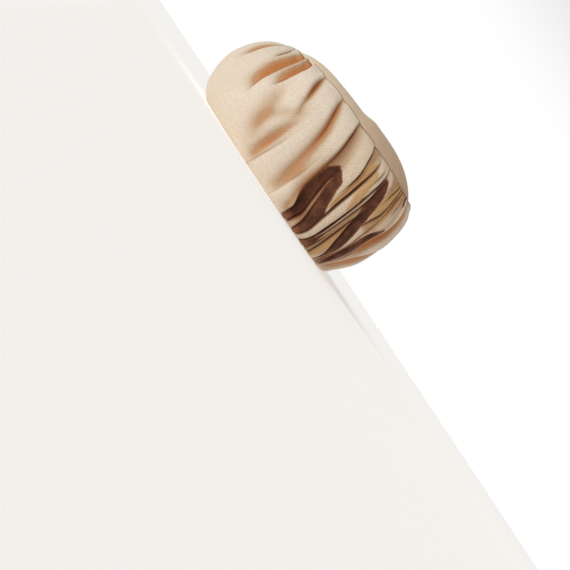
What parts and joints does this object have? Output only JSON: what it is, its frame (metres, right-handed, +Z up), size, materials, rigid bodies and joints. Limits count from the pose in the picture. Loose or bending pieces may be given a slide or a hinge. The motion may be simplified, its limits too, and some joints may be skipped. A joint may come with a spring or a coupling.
{
  "type": "pillbox hat",
  "caption": "Soft pillbox hat of draped crepe: domed crown tip, side pleated into the crown seam and turned in at the rim, gathered printed panel at the wearer's left back.",
  "frame": {"origin": "middle of the hat's outline on the plane that its rim rests on", "axes": "+Z up through the crown, -Y to the wearer's front, +Y to the wearer's back, +X to the wearer's left, where the printed panel is"},
  "size_m": [0.1958, 0.2035, 0.1051],
  "materials": {
    "crown_cloth": "peach-beige silk crepe, plain weave with crimped threads, matt with a faint sheen",
    "side_cloth": "peach-beige silk crepe, plain weave with crimped threads, matt with a faint sheen",
    "printed_cloth": "the same crepe printed with dark brown and golden tan strokes"
  },
  "bodies": {
    "root": {"crown_tip": "crown_cloth", "side_drape": "side_cloth", "printed_panel": "printed_cloth"}
  },
  "joints": []
}
